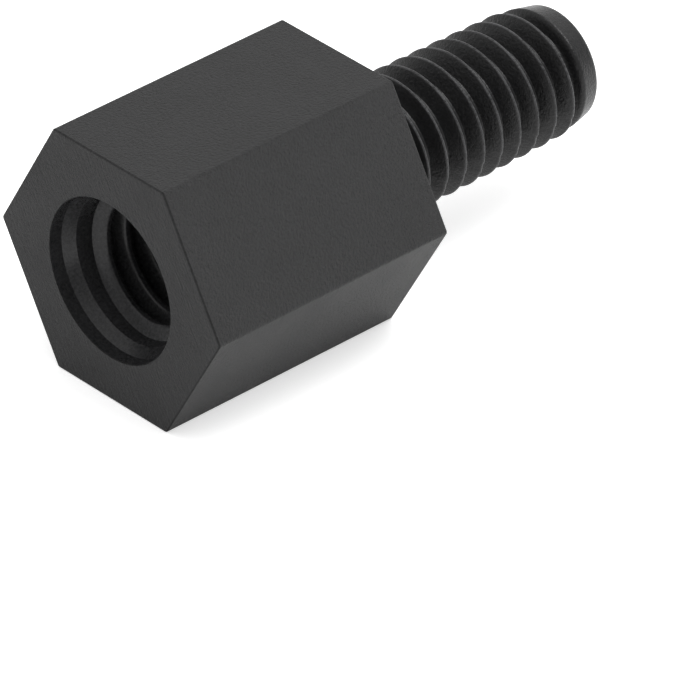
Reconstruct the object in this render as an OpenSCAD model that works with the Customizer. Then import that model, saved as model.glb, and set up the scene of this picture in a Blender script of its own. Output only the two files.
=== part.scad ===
// Hex standoff: a hexagonal body with a screw stud on one end and a screw hole in the other.
// The axis lies along X, the stud points to +X and one flat of the body is down.
// The origin is on the axis, in the end face that the stud stands on. Sizes are in millimetres.
// Both screw threads are right-hand; here each is its crest cylinder.

/* [Body] */
// distance between two opposite flats
across_flats = 5.5; // [5:0.1:6.4]
// length of the hexagonal body
body_length = 6; // [5:0.5:12]
// rounding of the six long edges
edge_radius = 0.08; // [0.04:0.02:0.4]

/* [Stud] */
// diameter over the crests of the stud's thread
stud_diameter = 2.9; // [2.4:0.1:3.1]
// length of the stud from the body's end face to its tip
stud_length = 6; // [4:0.5:10]
// diameter of the flat end of the tip
tip_diameter = 2.4; // [1.8:0.1:2.6]
// length of the bevel behind the tip
tip_bevel = 0.75; // [0.2:0.05:1]

/* [Hole] */
// diameter over the crests of the hole's thread
hole_diameter = 2.6; // [2.4:0.05:3]
// depth of the hole from the body's free end
hole_depth = 5; // [3:0.25:5.2]
// diameter of the plain recess at the mouth
recess_diameter = 3.5; // [3:0.1:3.8]
// depth of the plain recess
recess_depth = 0.3; // [0.1:0.1:1]
// diameter of the narrower wall behind the recess
relief_diameter = 3.2; // [3:0.1:3.4]
// length of that wall
relief_length = 0.25; // [0.1:0.05:0.5]
// length of the cone between recess and relief
taper = 0.25; // [0.1:0.05:0.5]
// length of the cone between relief and thread
lead_in = 0.15; // [0.05:0.05:0.3]

/* [Hidden] */
$fn = 96;
black = [0.055, 0.055, 0.057];
overlap = 0.5;
corner_reach = (across_flats / 2 - edge_radius) / cos(30);

// Centre of one long edge's rounding, seen along the axis.
function corner(i) = corner_reach * [cos(60 * i), sin(60 * i)];

// Where that rounding meets the flat on one side of it.
function tangent(i, side) = corner(i)
    + edge_radius * [cos(60 * i + 30 * side), sin(60 * i + 30 * side)];

// The body's section, with two corners level and two flats level.
module hexagon_section() {
  polygon([for (i = [0:5], side = [-1, 1]) tangent(i, side)]);
  for (i = [0:5])
    translate(corner(i))
      circle(r = edge_radius, $fn = 48);
}

// Turns a shape drawn up Z so that it runs along X, and keeps its up direction.
module along_x() {
  rotate([90, 0, 90])
    children();
}

// Stud with its bevelled tip, rooted in the body.
module stud() {
  crest = stud_diameter / 2;
  tip = tip_diameter / 2;
  rotate_extrude()
    polygon([
      [0, -overlap],
      [crest, -overlap],
      [crest, stud_length - tip_bevel],
      [tip, stud_length],
      [0, stud_length]
    ]);
}

// What the hole takes out, measured inwards from the body's free end.
module hole() {
  crest = hole_diameter / 2;
  recess = recess_diameter / 2;
  relief = relief_diameter / 2;
  relief_start = recess_depth + taper;
  thread_start = relief_start + relief_length;
  rotate_extrude()
    polygon([
      [0, -overlap],
      [recess, -overlap],
      [recess, recess_depth],
      [relief, relief_start],
      [relief, thread_start],
      [crest, thread_start + lead_in],
      [crest, hole_depth],
      [0, hole_depth]
    ]);
}

module standoff() {
  color(black)
    along_x()
      difference() {
        union() {
          translate([0, 0, -body_length])
            linear_extrude(body_length)
              hexagon_section();
          stud();
        }
        translate([0, 0, -body_length])
          hole();
      }
}

standoff();
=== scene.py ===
"""Visual model of a moulded hex standoff: the body, the screw stud and the screw hole."""

import math

import bmesh
import bpy
from bpy.props import FloatProperty, FloatVectorProperty, PointerProperty
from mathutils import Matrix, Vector


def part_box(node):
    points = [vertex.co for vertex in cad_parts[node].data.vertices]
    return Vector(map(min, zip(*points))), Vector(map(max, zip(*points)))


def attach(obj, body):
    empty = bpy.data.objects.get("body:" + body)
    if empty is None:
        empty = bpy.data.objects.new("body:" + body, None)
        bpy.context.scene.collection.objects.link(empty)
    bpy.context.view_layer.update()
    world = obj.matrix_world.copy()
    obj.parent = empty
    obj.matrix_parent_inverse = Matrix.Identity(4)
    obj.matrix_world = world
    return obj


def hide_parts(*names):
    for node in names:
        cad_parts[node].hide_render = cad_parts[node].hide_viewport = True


bl_info = {
    "name": "Hex Standoff",
    "version": (1, 0, 0),
    "blender": (4, 5, 0),
    "location": "View3D > Sidebar > Standoff",
    "description": "Builds a moulded hex standoff with its screw threads, finish and stage",
    "category": "Add Mesh",
}

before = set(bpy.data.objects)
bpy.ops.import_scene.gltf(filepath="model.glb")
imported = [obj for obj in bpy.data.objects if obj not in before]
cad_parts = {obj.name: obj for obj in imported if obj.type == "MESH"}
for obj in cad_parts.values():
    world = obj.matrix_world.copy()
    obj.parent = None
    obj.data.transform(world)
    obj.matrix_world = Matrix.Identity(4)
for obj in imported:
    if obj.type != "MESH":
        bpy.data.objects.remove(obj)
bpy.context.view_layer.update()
FLOOR_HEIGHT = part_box("standoff")[0].z

MM = 0.001
WELD = 1.0e-6

# how finely round shapes are divided: a circle, an end's rounding, a long edge, a thread's section
SEGMENTS = 96
ROUND_STEPS = 6
EDGE_STEPS = 8
SECTION_STEPS = 24

# flat border that keeps each end face's shading flat, least rounding of a corner, softened mouth
FLAT_MARGIN = 0.03 * MM
LEAST_ROUND = 0.02 * MM
MOUTH_ROUND = 0.02 * MM

# where the ring around the stud stops falling, as a share of its width
LIP_BEND = 0.6

# corners sharper than these are creases, outside the threads and in them
PLAIN_CREASE = math.radians(20)
THREAD_CREASE = math.radians(38)

# half widths of crest and groove, in pitches from the crest's middle, and the flank's easing
STUD_FORM = (0.03, 0.42)
HOLE_FORM = (0.11, 0.41)
FLANK_EASE = 0.2

# stretch over which the hole's first crest rises, in lead-in lengths
FIRST_CREST = (0.1, 0.7)

# stretch over which the stud's thread fades into the tip's bevel, in bevel lengths from the tip
TIP_FADE = (0.60, 0.90)

# full and faded half widths of a parting nick, in turns
NICK_SPAN = (0.002, 0.009)


# Sizes and colours


def length(label, what, millimetres):
    """A length property, given in millimetres and kept in metres."""
    return FloatProperty(name=label, description=what, default=millimetres * MM,
                         min=0.0, precision=6, subtype="DISTANCE", unit="LENGTH")


class BodySizes(bpy.types.PropertyGroup):
    across_flats: length("Across Flats", "Distance between two opposite flats", 5.5)
    body_length: length("Body Length", "Length of the hexagonal body", 6.0)
    edge_radius: length("Edge Radius", "Rounding of the six long edges", 0.08)
    end_radius: length("End Radius", "Small rounding where a side meets an end face", 0.04)
    lip_width: length("Lip Width", "Width of the shallow ring around the stud", 0.1)
    lip_height: length("Lip Height", "Depth of the shallow ring around the stud", 0.03)


class StudSizes(bpy.types.PropertyGroup):
    stud_length: length("Stud Length", "From the body's end face to the tip", 6.0)
    crest_radius: length("Crest Radius", "Radius over the thread's crests", 1.45)
    groove_radius: length("Groove Radius", "Radius at the bottom of the thread", 1.15)
    root_radius: length("Root Radius", "Radius where the stud leaves the body", 1.4)
    root_length: length("Root Length", "Plain length beside the body", 0.04)
    run_out: length("Run-out", "Length over which the thread fades at the body", 0.12)
    tip_radius: length("Tip Radius", "Radius of the flat end", 1.22)
    tip_bevel: length("Tip Bevel", "Length of the bevel behind the tip", 0.75)
    tip_round: length("Tip Round", "Rounding of the tip's rim", 0.12)
    draft: length("Draft", "Radius lost towards the tip, so that the mould opens", 0.075)
    pitch: length("Pitch", "Distance between two crests", 0.5)
    phase: FloatProperty(name="Phase", description="Turn of the thread where it starts",
                         default=math.radians(250), subtype="ANGLE", unit="ROTATION")
    parting_angle: FloatProperty(name="Parting Line", default=math.radians(200),
                                 description="Angle of the nicks that the mould's joint leaves",
                                 subtype="ANGLE", unit="ROTATION")
    nick: length("Nick", "Depth of the parting nicks in the crests", 0.03)


class HoleSizes(bpy.types.PropertyGroup):
    crest_radius: length("Crest Radius", "Radius inside the thread's crests", 1.3)
    groove_radius: length("Groove Radius", "Radius at the bottom of the thread", 1.57)
    recess_radius: length("Recess Radius", "Radius of the plain recess at the mouth", 1.75)
    recess_depth: length("Recess Depth", "Depth of the plain recess", 0.3)
    taper: length("Taper", "Length of the cone between recess and relief", 0.25)
    relief_radius: length("Relief Radius", "Radius of the narrower wall behind the recess", 1.6)
    relief_length: length("Relief Length", "Length of that wall", 0.25)
    lead_in: length("Lead-in", "Length of the cone between relief and thread", 0.15)
    hole_depth: length("Hole Depth", "Depth from the end face to the bottom", 5.0)
    bottom_bevel: length("Bottom Bevel", "Bevel between the wall and the bottom", 0.15)
    run_out: length("Run-out", "Length over which the last turn fades", 0.5)
    pitch: length("Pitch", "Distance between two crests", 0.5)
    phase: FloatProperty(name="Phase", description="Turn of the thread where it starts",
                         default=math.radians(246), subtype="ANGLE", unit="ROTATION")


class FinishSettings(bpy.types.PropertyGroup):
    nylon: FloatVectorProperty(name="Nylon", description="Colour of the moulded faces",
                               default=(0.013, 0.013, 0.0135), size=3, min=0.0, max=1.0,
                               subtype="COLOR")
    # pale crest colour: partly wear, partly a painted highlight along each crest
    worn_and_highlight: FloatVectorProperty(name="Worn", description="Colour of rubbed thread crests",
                              default=(0.06, 0.06, 0.063), size=3, min=0.0, max=1.0,
                              subtype="COLOR")


# Node helpers


def link_value(tree, value, socket):
    """Feeds a socket from another socket, or sets it to a plain value."""
    if isinstance(value, bpy.types.NodeSocket):
        tree.links.new(value, socket)
    else:
        socket.default_value = value


def maths(tree, operation, a, b=None, c=None):
    """One scalar step of arithmetic."""
    node = tree.nodes.new("ShaderNodeMath")
    node.operation = operation
    for value, socket in zip((a, b, c), node.inputs):
        if value is not None:
            link_value(tree, value, socket)
    return node.outputs[0]


def ramp(tree, value, low, high, to_low=0.0, to_high=1.0, smooth=False):
    """Carries a value from one range to another, held at both ends."""
    node = tree.nodes.new("ShaderNodeMapRange")
    node.interpolation_type = "SMOOTHSTEP" if smooth else "LINEAR"
    for given, socket in zip((value, low, high, to_low, to_high), node.inputs):
        link_value(tree, given, socket)
    return node.outputs[0]


def blend_values(tree, factor, a, b):
    """a where the factor is 0, b where it is 1."""
    return maths(tree, "MULTIPLY_ADD", maths(tree, "SUBTRACT", b, a), factor, a)


# Threads


THREAD_INPUTS = (
    ("Crest Radius", "NodeSocketFloat"),
    ("Groove Radius", "NodeSocketFloat"),
    ("Pitch", "NodeSocketFloat"),
    ("Start", "NodeSocketFloat"),
    ("End", "NodeSocketFloat"),
    ("Start Radius", "NodeSocketFloat"),
    ("End Radius", "NodeSocketFloat"),
    ("Start Length", "NodeSocketFloat"),
    ("End Length", "NodeSocketFloat"),
    ("End Round", "NodeSocketFloat"),
    ("Draft", "NodeSocketFloat"),
    ("Phase", "NodeSocketFloat"),
    ("Nick Angle", "NodeSocketFloat"),
    ("Nick Depth", "NodeSocketFloat"),
    ("Turns", "NodeSocketInt"),
    ("Segments", "NodeSocketInt"),
    ("Steps", "NodeSocketInt"),
    ("Material", "NodeSocketMaterial"),
)


def thread_tree(name, external):
    """Geometry nodes that bend a grid into a right-hand screw surface about X.

    The grid's first direction is the thread's section and its second is the turn, so each crest
    and each groove follows its own row of edges. Both ends are held flat and welded to a ring.
    """
    tree = bpy.data.node_groups.new(name, "GeometryNodeTree")
    for label, kind in THREAD_INPUTS:
        tree.interface.new_socket(name=label, in_out="INPUT", socket_type=kind)
    tree.interface.new_socket(name="Geometry", in_out="OUTPUT", socket_type="NodeSocketGeometry")
    given = tree.nodes.new("NodeGroupInput").outputs
    result = tree.nodes.new("NodeGroupOutput")

    grid = tree.nodes.new("GeometryNodeMeshGrid")
    grid.inputs["Size X"].default_value = 1.0
    link_value(tree, given["Turns"], grid.inputs["Size Y"])
    link_value(tree, maths(tree, "ADD", given["Steps"], 1.0), grid.inputs["Vertices X"])
    rows = maths(tree, "MULTIPLY_ADD", given["Turns"], given["Segments"], 1.0)
    link_value(tree, rows, grid.inputs["Vertices Y"])

    place = tree.nodes.new("ShaderNodeSeparateXYZ")
    tree.links.new(tree.nodes.new("GeometryNodeInputPosition").outputs[0], place.inputs[0])
    section, turn = place.outputs[0], place.outputs[1]

    # where the helix stands along the axis, and the same held between the two ends
    middle = maths(tree, "MULTIPLY", maths(tree, "ADD", given["Start"], given["End"]), 0.5)
    shift = maths(tree, "MULTIPLY", given["Phase"], given["Pitch"])
    base = maths(tree, "ADD", middle, shift)
    along = maths(tree, "MULTIPLY_ADD", maths(tree, "ADD", section, turn), given["Pitch"], base)
    along = maths(tree, "MINIMUM", maths(tree, "MAXIMUM", along, given["Start"]), given["End"])

    # distance from the nearest crest, in pitches, read back from the held place
    steps = maths(tree, "DIVIDE", maths(tree, "SUBTRACT", along, base), given["Pitch"])
    steps = maths(tree, "ADD", maths(tree, "SUBTRACT", steps, turn), 0.5)
    off_crest = maths(tree, "ABSOLUTE", maths(tree, "SUBTRACT", maths(tree, "FRACT", steps), 0.5))
    form = STUD_FORM if external else HOLE_FORM
    flank = ramp(tree, off_crest, *form)
    eased = ramp(tree, off_crest, *form, smooth=True)
    fall = blend_values(tree, FLANK_EASE, flank, eased)
    if not external:
        # the first crest rises out of the plain wall within a short stretch of its turn
        crest_place = maths(tree, "ADD", turn, maths(tree, "FLOOR", steps))
        crest_place = maths(tree, "MULTIPLY_ADD", crest_place, given["Pitch"], base)
        risen = maths(tree, "DIVIDE", maths(tree, "SUBTRACT", crest_place, given["Start"]),
                      given["Start Length"])
        low = maths(tree, "MULTIPLY", maths(tree, "SUBTRACT", 1.0, fall),
                    ramp(tree, risen, *FIRST_CREST, smooth=True))
        fall = maths(tree, "SUBTRACT", 1.0, low)
    radius = blend_values(tree, fall, given["Crest Radius"], given["Groove Radius"])

    # the mould's joint nicks the crests along one line
    angle = maths(tree, "SUBTRACT", turn, maths(tree, "DIVIDE", given["Nick Angle"], math.tau))
    beside = maths(tree, "ABSOLUTE", maths(tree, "SUBTRACT",
                   maths(tree, "FRACT", maths(tree, "ADD", angle, 0.5)), 0.5))
    nick = maths(tree, "MULTIPLY", ramp(tree, beside, *NICK_SPAN, 1.0, 0.0), given["Nick Depth"])
    nick = maths(tree, "MULTIPLY", nick, maths(tree, "SUBTRACT", 1.0, fall))
    radius = maths(tree, "SUBTRACT", radius, nick)

    # the mould's draft takes more off the nearer the end is
    reach = maths(tree, "DIVIDE", maths(tree, "SUBTRACT", along, given["Start"]),
                  maths(tree, "SUBTRACT", given["End"], given["Start"]))
    lost = maths(tree, "MULTIPLY", maths(tree, "MULTIPLY", reach, reach), given["Draft"])
    radius = maths(tree, "SUBTRACT", radius, lost)

    # how far in from each end, from 0 at the end to 1
    from_start = maths(tree, "DIVIDE", maths(tree, "SUBTRACT", along, given["Start"]),
                       given["Start Length"])
    from_end = maths(tree, "DIVIDE", maths(tree, "SUBTRACT", given["End"], along),
                     given["End Length"])
    if external:
        fade = ramp(tree, from_start, 0.0, 1.0, smooth=True)
        radius = blend_values(tree, fade, given["Start Radius"], radius)
        bevel = blend_values(tree, from_end, given["End Radius"],
                             maths(tree, "SUBTRACT", given["Crest Radius"], given["Draft"]))
        land = ramp(tree, from_end, *TIP_FADE, smooth=True)
        radius = blend_values(tree, land, bevel, maths(tree, "MINIMUM", radius, bevel))
        rim = maths(tree, "DIVIDE", maths(tree, "SUBTRACT", given["End"], along),
                    given["End Round"])
        rim = maths(tree, "SUBTRACT", 1.0, maths(tree, "MINIMUM", rim, 1.0))
        rim = maths(tree, "SQRT", maths(tree, "SUBTRACT", 1.0, maths(tree, "MULTIPLY", rim, rim)))
        cut = maths(tree, "MULTIPLY", maths(tree, "SUBTRACT", 1.0, rim), given["End Round"])
        radius = maths(tree, "SUBTRACT", radius, cut)
    else:
        cone = blend_values(tree, maths(tree, "MINIMUM", from_start, 1.0),
                            given["Start Radius"], given["Crest Radius"])
        radius = maths(tree, "MAXIMUM", radius, cone)
        fade = ramp(tree, from_end, 0.0, 1.0, smooth=True)
        radius = blend_values(tree, fade, given["End Radius"], radius)

    radians = maths(tree, "MULTIPLY", turn, math.tau)
    point = tree.nodes.new("ShaderNodeCombineXYZ")
    link_value(tree, along, point.inputs[0])
    link_value(tree, maths(tree, "MULTIPLY", radius, maths(tree, "COSINE", radians)),
               point.inputs[1])
    link_value(tree, maths(tree, "MULTIPLY", radius, maths(tree, "SINE", radians)),
               point.inputs[2])
    bend = tree.nodes.new("GeometryNodeSetPosition")
    tree.links.new(grid.outputs["Mesh"], bend.inputs["Geometry"])
    tree.links.new(point.outputs[0], bend.inputs["Position"])
    weld = tree.nodes.new("GeometryNodeMergeByDistance")
    weld.inputs["Distance"].default_value = WELD
    tree.links.new(bend.outputs[0], weld.inputs["Geometry"])
    real = tree.nodes.new("GeometryNodeRealizeInstances")
    tree.links.new(weld.outputs[0], real.inputs[0])
    paint = tree.nodes.new("GeometryNodeSetMaterial")
    tree.links.new(real.outputs[0], paint.inputs["Geometry"])
    tree.links.new(given["Material"], paint.inputs["Material"])
    tree.links.new(paint.outputs[0], result.inputs[0])
    return tree


def baked_thread(name, tree, values):
    """Runs the tree once with these values and keeps its result as a plain mesh object."""
    host = bpy.data.objects.new(name, bpy.data.meshes.new(name + "_start"))
    bpy.context.scene.collection.objects.link(host)
    modifier = host.modifiers.new("Thread", "NODES")
    modifier.node_group = tree
    sockets = {s.name: s.identifier for s in tree.interface.items_tree if s.in_out == "INPUT"}
    for label, value in values.items():
        modifier[sockets[label]] = value
    host.update_tag()
    bpy.context.view_layer.update()
    graph = bpy.context.evaluated_depsgraph_get()
    mesh = bpy.data.meshes.new_from_object(host.evaluated_get(graph))
    host.modifiers.remove(modifier)
    start = host.data
    host.data = mesh
    bpy.data.meshes.remove(start)
    if not mesh.polygons:
        raise RuntimeError(name + " came out empty")


def middle_phase(phase, start, end, pitch):
    """The tree counts turns from the thread's middle; the given phase counts from its start."""
    return phase / math.tau - (end - start) / 2 / pitch


def turns_for(start, end, pitch):
    """Whole turns of helix that cover the stretch with a margin at both ends."""
    return math.ceil((end - start) / pitch) + 3


# Body


def hexagon_outline(sizes, inset):
    """The rounded hexagon as (y, z) points, moved inwards by inset."""
    radius = max(sizes.edge_radius - inset, LEAST_ROUND)
    reach = (sizes.across_flats / 2 - inset - radius) / math.cos(math.radians(30))
    points = []
    for corner in range(6):
        middle = math.radians(60 * corner)
        for step in range(EDGE_STEPS + 1):
            a = middle + math.radians(-30 + 60 * step / EDGE_STEPS)
            points.append((reach * math.cos(middle) + radius * math.cos(a),
                           reach * math.sin(middle) + radius * math.sin(a)))
    return points


def ring(bm, x, radius):
    """A round row of points about the axis."""
    return [bm.verts.new((x, radius * math.cos(math.tau * i / SEGMENTS),
                          radius * math.sin(math.tau * i / SEGMENTS)))
            for i in range(SEGMENTS)]


def row(bm, x, outline):
    """A hexagonal row of points at one place along the axis."""
    return [bm.verts.new((x, y, z)) for y, z in outline]


def skin(bm, first, second):
    """Joins two rows of equal count with a band of faces."""
    count = len(first)
    for i in range(count):
        j = (i + 1) % count
        bm.faces.new((first[i], first[j], second[j], second[i]))


def flat_ring(bm, outside, inside):
    """Fills the flat face between an outer row and an inner one."""
    edges = []
    for points in (outside, inside):
        for i, a in enumerate(points):
            b = points[(i + 1) % len(points)]
            edges.append(bm.edges.get((a, b)) or bm.edges.new((a, b)))
    bmesh.ops.triangle_fill(bm, use_beauty=True, use_dissolve=False, edges=edges)


def cap(bm, points):
    """Closes a round row with a fan about its middle."""
    middle = bm.verts.new(sum((p.co for p in points), Vector()) / len(points))
    for i, a in enumerate(points):
        bm.faces.new((a, points[(i + 1) % len(points)], middle))


def thread_start(sizes, hole):
    """Where the hole's thread starts along the axis."""
    return -sizes.body_length + hole.recess_depth + hole.taper + hole.relief_length


def build_body(sizes, stud, hole):
    """The hexagonal body with both end faces, the mouth, the hole's bottom and the stud's root.

    The threads' own surfaces are left out. They start and end on the open rows left here.
    """
    bm = bmesh.new()
    left, right = -sizes.body_length, 0.0
    steps = [math.radians(90 * k / ROUND_STEPS) for k in range(ROUND_STEPS + 1)]
    inner = hexagon_outline(sizes, sizes.end_radius + FLAT_MARGIN)
    rows = [row(bm, left, inner)]
    for a in steps:
        rows.append(row(bm, left + sizes.end_radius * (1 - math.cos(a)),
                        hexagon_outline(sizes, sizes.end_radius * (1 - math.sin(a)))))
    for a in reversed(steps):
        rows.append(row(bm, right - sizes.end_radius * (1 - math.cos(a)),
                        hexagon_outline(sizes, sizes.end_radius * (1 - math.sin(a)))))
    rows.append(row(bm, right, inner))
    for first, second in zip(rows, rows[1:]):
        skin(bm, first, second)

    # free end: a softened mouth, the recess, its taper and the relief up to the thread
    mouth = ring(bm, left, hole.recess_radius + MOUTH_ROUND)
    edge = ring(bm, left + MOUTH_ROUND, hole.recess_radius)
    floor = ring(bm, left + hole.recess_depth, hole.recess_radius)
    heel = ring(bm, left + hole.recess_depth + hole.taper, hole.relief_radius)
    throat = ring(bm, thread_start(sizes, hole), hole.groove_radius)
    flat_ring(bm, rows[0], mouth)
    skin(bm, mouth, edge)
    skin(bm, edge, floor)
    skin(bm, floor, heel)
    skin(bm, heel, throat)

    # the hole's bottom and its bevel
    wall_end = ring(bm, left + hole.hole_depth - hole.bottom_bevel, hole.crest_radius)
    bottom = ring(bm, left + hole.hole_depth, hole.crest_radius - hole.bottom_bevel)
    skin(bm, wall_end, bottom)
    cap(bm, bottom)

    # stud end: a shallow ring around the stud, then the root up to the thread's first ring
    outer = ring(bm, right, stud.root_radius + sizes.lip_width)
    dip = ring(bm, right - sizes.lip_height, stud.root_radius + sizes.lip_width * LIP_BEND)
    root = ring(bm, right - sizes.lip_height, stud.root_radius)
    foot = ring(bm, right + stud.root_length, stud.root_radius)
    flat_ring(bm, rows[-1], outer)
    skin(bm, outer, dip)
    skin(bm, dip, root)
    skin(bm, root, foot)
    return bm


def weld_solid(bm, mesh, plain_end):
    """Welds the rows, closes the tip, turns every face outwards and checks that it is closed.

    Up to plain_end along the axis a gentle corner is already a crease, past it only a steep one.
    """
    bmesh.ops.remove_doubles(bm, verts=bm.verts, dist=WELD)
    tip = [e for e in bm.edges if e.is_boundary]
    bmesh.ops.holes_fill(bm, edges=tip, sides=0)
    for face in [f for f in bm.faces if len(f.verts) > 4]:
        bmesh.ops.poke(bm, faces=[face])
    loose = [v for v in bm.verts if not v.link_faces]
    bmesh.ops.delete(bm, geom=loose, context="VERTS")
    bmesh.ops.recalc_face_normals(bm, faces=bm.faces)
    if any(not e.is_manifold for e in bm.edges):
        raise RuntimeError("the standoff's surface isn't closed")
    for edge in bm.edges:
        plain = all(v.co.x < plain_end for v in edge.verts)
        edge.smooth = edge.calc_face_angle() < (PLAIN_CREASE if plain else THREAD_CREASE)
    bm.to_mesh(mesh)
    bm.free()


# Finish

# noise behind the grain, in millimetres: its scale, and the scale and share of its slow part
GRAIN_SCALE = 17.0
CLOUD_SCALE = 0.8
CLOUD_SHARE = 0.3

# middle part of a noise's values, which is stretched over the whole range
NOISE_SPAN = (0.35, 0.65)

# cutter streaks on the free end: their slant, their size on each axis, their share of the colour
# and of the height
STREAK_SLANT = math.radians(60)
STREAK_SIZE = (1.0, 0.7, 0.05)
STREAK_IN_COLOUR = 0.5
STREAK_IN_HEIGHT = 0.45

# darkest and palest speckle against the nylon's colour, then the threads' colour against it:
# painted shade darkens the stud's thread, painted light brightens the hole
SPECKLE_SHADES = (0.5, 1.5)
STUD_PAINTED_SHADE = 0.65
HOLE_PAINTED_LIGHT = 2.2

# roughness: of the faces from one end of the speckle's middle part to the other, of both threads,
# of rubbed crests, what the free end adds, and of its rim
FACE_ROUGH = (0.45, 0.65)
FACE_SPAN = (0.3, 0.7)
STUD_ROUGH = 0.30
HOLE_ROUGH = 0.22
CREST_ROUGH = 0.55
END_ROUGHER = 0.15
RIM_ROUGH = 0.95

# strength of the reflection
FACE_SHEEN = 0.5
STUD_SHEEN = 0.33
HOLE_SHEEN = 0.24

# height of the grain, and its share in both threads
GRAIN_HEIGHT = 0.10 * MM
STUD_GRAIN = 0.15
HOLE_GRAIN = 0.05

# depths below the crest cylinder between which the pale crest colour, partly wear and partly a
# painted highlight, fades, in millimetres
CREST_PAINT_SPAN = (0.022, 0.008)

# stretches over which the masks fade, in millimetres
STUD_FADE = 0.02
HOLE_FADE = 0.012
HOLE_END = -0.5
END_FADE = (0.006, 0.002)
RIM_FADE = 0.008


def grain_group():
    """Fine moulded grain: a speckle for the colour and a height for the surface."""
    tree = bpy.data.node_groups.new("Moulded Grain", "ShaderNodeTree")
    tree.interface.new_socket(name="Vector", in_out="INPUT", socket_type="NodeSocketVector")
    size = tree.interface.new_socket(name="Scale", in_out="INPUT", socket_type="NodeSocketFloat")
    size.default_value = GRAIN_SCALE
    tree.interface.new_socket(name="Speckle", in_out="OUTPUT", socket_type="NodeSocketFloat")
    tree.interface.new_socket(name="Height", in_out="OUTPUT", socket_type="NodeSocketFloat")
    given = tree.nodes.new("NodeGroupInput").outputs
    result = tree.nodes.new("NodeGroupOutput").inputs
    fine = tree.nodes.new("ShaderNodeTexNoise")
    fine.inputs["Detail"].default_value = 3.0
    fine.inputs["Roughness"].default_value = 0.68
    tree.links.new(given["Vector"], fine.inputs["Vector"])
    tree.links.new(given["Scale"], fine.inputs["Scale"])
    cloud = tree.nodes.new("ShaderNodeTexNoise")
    cloud.inputs["Scale"].default_value = CLOUD_SCALE
    cloud.inputs["Detail"].default_value = 2.0
    tree.links.new(given["Vector"], cloud.inputs["Vector"])
    speckle = blend_values(tree, CLOUD_SHARE, fine.outputs[0], cloud.outputs[0])
    tree.links.new(speckle, result["Speckle"])
    tree.links.new(fine.outputs[0], result["Height"])
    return tree


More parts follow.
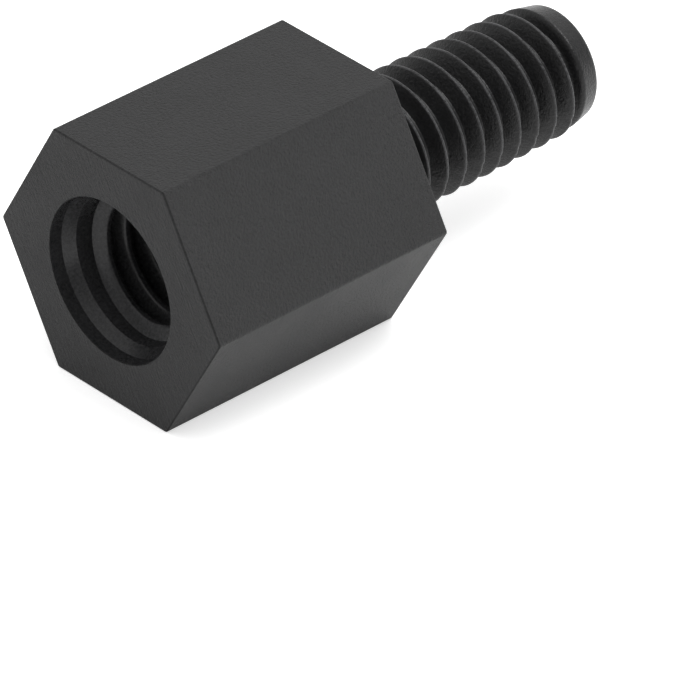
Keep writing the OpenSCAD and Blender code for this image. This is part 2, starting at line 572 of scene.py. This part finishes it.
def nylon_material(finish, sizes, stud, hole):
    """Black moulded nylon: grained outside, streaked on the free end, polished in the threads."""
    material = bpy.data.materials.new("moulded_nylon")
    material.use_nodes = True
    tree = material.node_tree
    tree.nodes.clear()
    output = tree.nodes.new("ShaderNodeOutputMaterial")
    shader = tree.nodes.new("ShaderNodeBsdfPrincipled")
    tree.links.new(shader.outputs[0], output.inputs[0])
    shader.inputs["IOR"].default_value = 1.50

    # places in millimetres, and the distance from the axis
    where = tree.nodes.new("ShaderNodeTexCoord")
    scaled = tree.nodes.new("ShaderNodeMapping")
    scaled.inputs["Scale"].default_value = (1 / MM, 1 / MM, 1 / MM)
    tree.links.new(where.outputs["Object"], scaled.inputs["Vector"])
    xyz = tree.nodes.new("ShaderNodeSeparateXYZ")
    tree.links.new(scaled.outputs[0], xyz.inputs[0])
    x, y, z = xyz.outputs
    from_axis = maths(tree, "SQRT", maths(tree, "ADD", maths(tree, "MULTIPLY", y, y),
                                          maths(tree, "MULTIPLY", z, z)))

    # masks: the stud, the hole, the free end's face, both threads and the rim around that face
    left = -sizes.body_length / MM
    on_stud = ramp(tree, x, 0.0, STUD_FADE)
    recess = hole.recess_radius / MM
    in_hole = maths(tree, "MULTIPLY", ramp(tree, from_axis, recess + HOLE_FADE, recess),
                    ramp(tree, x, 0.0, HOLE_END))
    on_end = maths(tree, "MULTIPLY", ramp(tree, x, *[left + fade for fade in END_FADE]),
                   maths(tree, "SUBTRACT", 1.0, in_hole))
    threaded = maths(tree, "MAXIMUM", on_stud, in_hole)
    rim_end = left + sizes.end_radius / MM
    on_rim = maths(tree, "MULTIPLY", ramp(tree, x, rim_end, rim_end - RIM_FADE),
                   maths(tree, "SUBTRACT", 1.0, maths(tree, "MAXIMUM", on_end, in_hole)))

    grain = tree.nodes.new("ShaderNodeGroup")
    grain.node_tree = grain_group()
    tree.links.new(scaled.outputs[0], grain.inputs["Vector"])

    # fine cutter streaks across the free end
    slant = tree.nodes.new("ShaderNodeMapping")
    slant.vector_type = "TEXTURE"
    slant.inputs["Rotation"].default_value = (STREAK_SLANT, 0.0, 0.0)
    slant.inputs["Scale"].default_value = STREAK_SIZE
    tree.links.new(scaled.outputs[0], slant.inputs["Vector"])
    streak = tree.nodes.new("ShaderNodeTexNoise")
    streak.inputs["Scale"].default_value = 1.0
    streak.inputs["Detail"].default_value = 4.0
    streak.inputs["Roughness"].default_value = 0.65
    tree.links.new(slant.outputs[0], streak.inputs["Vector"])

    # colour
    plain = tree.nodes.new("ShaderNodeMix")
    plain.data_type = "RGBA"
    for socket, share in zip("AB", SPECKLE_SHADES):
        plain.inputs[socket].default_value = (*[c * share for c in finish.nylon], 1)
    streaked = blend_values(tree, STREAK_IN_COLOUR, grain.outputs["Speckle"], streak.outputs[0])
    speckle = blend_values(tree, on_end, grain.outputs["Speckle"], streaked)
    link_value(tree, ramp(tree, speckle, *NOISE_SPAN), plain.inputs["Factor"])
    # painted shade on the stud's thread and painted light in the hole: the same nylon made darker
    # on the stud and paler in the hole
    painted_thread_shade_and_light = tree.nodes.new("ShaderNodeVectorMath")
    painted_thread_shade_and_light.operation = "SCALE"
    tree.links.new(plain.outputs["Result"], painted_thread_shade_and_light.inputs[0])
    # the hole's colour is raised as painted light, which lifts the shade inside it
    in_thread = blend_values(tree, in_hole, STUD_PAINTED_SHADE, HOLE_PAINTED_LIGHT)
    link_value(tree, blend_values(tree, threaded, 1.0, in_thread), painted_thread_shade_and_light.inputs["Scale"])

    # the stud's crests are painted pale: partly wear, partly a painted highlight along each crest
    reach = maths(tree, "DIVIDE", x, stud.stud_length / MM)
    outline = maths(tree, "MULTIPLY", maths(tree, "MULTIPLY", reach, reach), stud.draft / MM)
    outline = maths(tree, "SUBTRACT", stud.crest_radius / MM, outline)
    below = maths(tree, "SUBTRACT", outline, from_axis)
    stud_crest = ramp(tree, below, *CREST_PAINT_SPAN)
    rubbed_and_highlit = tree.nodes.new("ShaderNodeMix")
    rubbed_and_highlit.data_type = "RGBA"
    rubbed_and_highlit.inputs["B"].default_value = (*finish.worn_and_highlight, 1)
    tree.links.new(painted_thread_shade_and_light.outputs[0], rubbed_and_highlit.inputs["A"])
    rub_and_highlight = maths(tree, "MULTIPLY", maths(tree, "MULTIPLY", on_stud, stud_crest),
                ramp(tree, grain.outputs["Speckle"], *NOISE_SPAN))
    link_value(tree, rub_and_highlight, rubbed_and_highlit.inputs["Factor"])
    tree.links.new(rubbed_and_highlit.outputs["Result"], shader.inputs["Base Color"])

    # gloss
    rough = blend_values(tree, threaded,
                         ramp(tree, grain.outputs["Speckle"], *FACE_SPAN, *FACE_ROUGH),
                         blend_values(tree, in_hole, STUD_ROUGH, HOLE_ROUGH))
    rough = blend_values(tree, rub_and_highlight, rough, CREST_ROUGH)
    rough = maths(tree, "MULTIPLY_ADD", on_end, END_ROUGHER, rough)
    rough = blend_values(tree, on_rim, rough, RIM_ROUGH)
    link_value(tree, rough, shader.inputs["Roughness"])
    sheen = blend_values(tree, threaded, FACE_SHEEN,
                         blend_values(tree, in_hole, STUD_SHEEN, HOLE_SHEEN))
    sheen = blend_values(tree, rub_and_highlight, sheen, FACE_SHEEN)
    link_value(tree, sheen, shader.inputs["Specular IOR Level"])

    # surface
    streaked = blend_values(tree, STREAK_IN_HEIGHT, grain.outputs["Height"], streak.outputs[0])
    height = blend_values(tree, on_end, grain.outputs["Height"], streaked)
    in_thread = blend_values(tree, in_hole, STUD_GRAIN, HOLE_GRAIN)
    height = maths(tree, "MULTIPLY", height, blend_values(tree, threaded, 1.0, in_thread))
    bump = tree.nodes.new("ShaderNodeBump")
    bump.inputs["Strength"].default_value = 1.0
    bump.inputs["Distance"].default_value = GRAIN_HEIGHT
    link_value(tree, height, bump.inputs["Height"])
    tree.links.new(bump.outputs[0], shader.inputs["Normal"])
    return material


# Stage

# the sky: its strength, then its shares from the horizon to SKY_HIGH, from -X to +X and from -Y
# to +Y
SKY_STRENGTH = 0.79
SKY_RISE = (0.38, 1.5)
SKY_HIGH = 0.9
SKY_ACROSS_X = (0.85, 1.2)
SKY_ACROSS_Y = (0.60, 1.35)

# how much of plain white a reflection of the sky shows
SKY_MIRRORED = 0.15

# the floor's half width, its colour, and what it gives off in reflections and to the camera
FLOOR_SIZE = 0.6
FLOOR_COLOUR = (0.86, 0.86, 0.86, 1)
FLOOR_MIRRORED = 0.28
FLOOR_SEEN = 0.50

# the key lamp: place, width and watts
LAMP_PLACE = (0.04, -0.05, 0.16)
LAMP_SIZE = 0.10
LAMP_POWER = 0.20

# the photograph's view of the object
CAMERA_LENS = 452.2
CAMERA_SENSOR = 36.0
CAMERA_PLACE = (-0.099478, -0.107786, 0.092315)
CAMERA_TARGET = (-0.0030869, -0.0036924, -0.0011085)


def look_at(thing, target):
    """Turns a lamp or camera to face a point, with no roll."""
    away = thing.location - Vector(target)
    thing.rotation_euler = away.to_track_quat("Z", "Y").to_euler()


def soft_lamp(name, place, target, size, watts):
    """A square area lamp."""
    data = bpy.data.lights.new(name, "AREA")
    data.shape = "SQUARE"
    data.size = size
    data.energy = watts
    lamp = bpy.data.objects.new(name, data)
    lamp.location = place
    bpy.context.scene.collection.objects.link(lamp)
    look_at(lamp, target)


def white_sky(strength):
    """A white world that lights the object softly and shows plain white behind it."""
    world = bpy.data.worlds.new("white_sky")
    bpy.context.scene.world = world
    world.use_nodes = True
    tree = world.node_tree
    tree.nodes.clear()
    output = tree.nodes.new("ShaderNodeOutputWorld")
    ray = tree.nodes.new("ShaderNodeLightPath")
    sky = tree.nodes.new("ShaderNodeBackground")
    sky.inputs["Color"].default_value = (1, 1, 1, 1)
    where = tree.nodes.new("ShaderNodeTexCoord")
    split = tree.nodes.new("ShaderNodeSeparateXYZ")
    tree.links.new(where.outputs["Generated"], split.inputs[0])
    light = ramp(tree, split.outputs[2], 0.0, SKY_HIGH, *[strength * share for share in SKY_RISE])
    for across, shares in zip(split.outputs, (SKY_ACROSS_X, SKY_ACROSS_Y)):
        light = maths(tree, "MULTIPLY", light, ramp(tree, across, -1.0, 1.0, *shares))
    shown = maths(tree, "MAXIMUM", ray.outputs["Is Camera Ray"],
                  ray.outputs["Is Transmission Ray"])
    shown = maths(tree, "MAXIMUM", shown,
                  maths(tree, "MULTIPLY", ray.outputs["Is Glossy Ray"], SKY_MIRRORED))
    link_value(tree, blend_values(tree, shown, light, 1.0), sky.inputs["Strength"])
    tree.links.new(sky.outputs[0], output.inputs[0])


def white_floor(height):
    """A large plain floor under the lowest flat, white to the camera but for the shadow."""
    bm = bmesh.new()
    bmesh.ops.create_grid(bm, x_segments=1, y_segments=1, size=FLOOR_SIZE)
    bmesh.ops.translate(bm, verts=bm.verts, vec=(0, 0, height))
    mesh = bpy.data.meshes.new("floor")
    bm.to_mesh(mesh)
    bm.free()
    floor = bpy.data.objects.new("floor", mesh)
    bpy.context.scene.collection.objects.link(floor)
    material = bpy.data.materials.new("white_paper")
    material.use_nodes = True
    tree = material.node_tree
    shader = tree.nodes["Principled BSDF"]
    shader.inputs["Base Color"].default_value = FLOOR_COLOUR
    shader.inputs["Roughness"].default_value = 0.9
    shader.inputs["Specular IOR Level"].default_value = 0.1
    mesh.materials.append(material)
    glow = tree.nodes.new("ShaderNodeEmission")
    ray = tree.nodes.new("ShaderNodeLightPath")
    both = tree.nodes.new("ShaderNodeAddShader")
    output = tree.nodes["Material Output"]
    mirrored = maths(tree, "MAXIMUM", ray.outputs["Is Glossy Ray"],
                     ray.outputs["Is Transmission Ray"])
    seen = maths(tree, "MULTIPLY_ADD", mirrored, FLOOR_MIRRORED,
                 maths(tree, "MULTIPLY", ray.outputs["Is Camera Ray"], FLOOR_SEEN))
    link_value(tree, seen, glow.inputs["Strength"])
    tree.links.new(shader.outputs[0], both.inputs[0])
    tree.links.new(glow.outputs[0], both.inputs[1])
    tree.links.new(both.outputs[0], output.inputs["Surface"])


# Operators


class STANDOFF_OT_stud_thread(bpy.types.Operator):
    """Form the screw surface of the stud from its root to its tip"""

    bl_idname = "standoff.stud_thread"
    bl_label = "Form Stud Thread"

    def execute(self, context):
        stud = context.scene.standoff_stud
        start, end = stud.root_length, stud.stud_length
        baked_thread("stud_thread", thread_tree("Stud Thread", True), {
            "Crest Radius": stud.crest_radius, "Groove Radius": stud.groove_radius,
            "Pitch": stud.pitch, "Start": start, "End": end,
            "Start Radius": stud.root_radius, "End Radius": stud.tip_radius,
            "Start Length": stud.run_out, "End Length": stud.tip_bevel,
            "End Round": stud.tip_round, "Draft": stud.draft,
            "Phase": middle_phase(stud.phase, start, end, stud.pitch) % 1.0,
            "Nick Angle": stud.parting_angle, "Nick Depth": stud.nick,
            "Turns": turns_for(start, end, stud.pitch),
            "Segments": SEGMENTS, "Steps": SECTION_STEPS})
        return {"FINISHED"}


class STANDOFF_OT_hole_thread(bpy.types.Operator):
    """Form the screw surface of the hole from its recess to its bottom"""

    bl_idname = "standoff.hole_thread"
    bl_label = "Form Hole Thread"

    def execute(self, context):
        body = context.scene.standoff_body
        hole = context.scene.standoff_hole
        start = thread_start(body, hole)
        end = -body.body_length + hole.hole_depth - hole.bottom_bevel
        baked_thread("hole_thread", thread_tree("Hole Thread", False), {
            "Crest Radius": hole.crest_radius, "Groove Radius": hole.groove_radius,
            "Pitch": hole.pitch, "Start": start, "End": end,
            "Start Radius": hole.groove_radius, "End Radius": hole.crest_radius,
            "Start Length": hole.lead_in, "End Length": hole.run_out,
            "End Round": 0.0, "Draft": 0.0,
            "Phase": middle_phase(hole.phase, start, end, hole.pitch) % 1.0,
            "Nick Angle": 0.0, "Nick Depth": 0.0, "Turns": turns_for(start, end, hole.pitch),
            "Segments": SEGMENTS, "Steps": SECTION_STEPS})
        return {"FINISHED"}


class STANDOFF_OT_moulding(bpy.types.Operator):
    """Build the hexagonal body, weld both threads to it and give it its finish"""

    bl_idname = "standoff.moulding"
    bl_label = "Build Moulding"

    def execute(self, context):
        scene = context.scene
        sizes, stud, hole = scene.standoff_body, scene.standoff_stud, scene.standoff_hole
        bm = build_body(sizes, stud, hole)
        for name in ("stud_thread", "hole_thread"):
            part = bpy.data.objects.get(name)
            if part is None:
                raise RuntimeError(name + " has to be formed first")
            bm.from_mesh(part.data)
            mesh = part.data
            bpy.data.objects.remove(part)
            bpy.data.meshes.remove(mesh)
        mesh = bpy.data.meshes.new("standoff_moulding")
        weld_solid(bm, mesh, thread_start(sizes, hole) + FLAT_MARGIN)
        mesh.materials.append(nylon_material(scene.standoff_finish, sizes, stud, hole))
        for face in mesh.polygons:
            face.use_smooth = True
            face.material_index = 0
        piece = bpy.data.objects.new("standoff_moulding", mesh)
        scene.collection.objects.link(piece)
        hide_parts("standoff")
        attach(piece, "root")
        return {"FINISHED"}


class STANDOFF_OT_stage(bpy.types.Operator):
    """Set up the white floor, the soft light and the camera"""

    bl_idname = "standoff.stage"
    bl_label = "Set Up Stage"

    def execute(self, context):
        scene = context.scene
        white_floor(FLOOR_HEIGHT)
        white_sky(SKY_STRENGTH)
        soft_lamp("key_lamp", LAMP_PLACE, (0, 0, 0), LAMP_SIZE, LAMP_POWER)
        data = bpy.data.cameras.new("camera")
        data.sensor_width = CAMERA_SENSOR
        data.lens = CAMERA_LENS
        data.clip_start, data.clip_end = 0.01, 5.0
        camera = bpy.data.objects.new("camera", data)
        camera.location = CAMERA_PLACE
        scene.collection.objects.link(camera)
        look_at(camera, CAMERA_TARGET)
        scene.camera = camera
        scene.view_settings.view_transform = "Standard"
        return {"FINISHED"}


class STANDOFF_PT_panel(bpy.types.Panel):
    """Lists the standoff's sizes and steps"""

    bl_label = "Hex Standoff"
    bl_idname = "STANDOFF_PT_panel"
    bl_space_type = "VIEW_3D"
    bl_region_type = "UI"
    bl_category = "Standoff"

    def draw(self, context):
        for title, group in (("Body", context.scene.standoff_body),
                             ("Stud", context.scene.standoff_stud),
                             ("Hole", context.scene.standoff_hole),
                             ("Finish", context.scene.standoff_finish)):
            box = self.layout.box()
            box.label(text=title)
            for name in group.bl_rna.properties.keys():
                if name not in {"rna_type", "name"}:
                    box.prop(group, name)
        for operator in OPERATORS:
            self.layout.operator(operator.bl_idname)


GROUPS = {
    "standoff_body": BodySizes,
    "standoff_stud": StudSizes,
    "standoff_hole": HoleSizes,
    "standoff_finish": FinishSettings,
}
OPERATORS = (STANDOFF_OT_stud_thread, STANDOFF_OT_hole_thread, STANDOFF_OT_moulding,
             STANDOFF_OT_stage)
CLASSES = (*GROUPS.values(), *OPERATORS, STANDOFF_PT_panel)


def register():
    for cls in CLASSES:
        bpy.utils.register_class(cls)
    for name, group in GROUPS.items():
        setattr(bpy.types.Scene, name, PointerProperty(type=group))


def unregister():
    for name in GROUPS:
        delattr(bpy.types.Scene, name)
    for cls in reversed(CLASSES):
        bpy.utils.unregister_class(cls)


def main():
    register()
    bpy.ops.standoff.stud_thread()
    bpy.ops.standoff.hole_thread()
    bpy.ops.standoff.moulding()
    bpy.ops.standoff.stage()


if __name__ == "__main__":
    main()
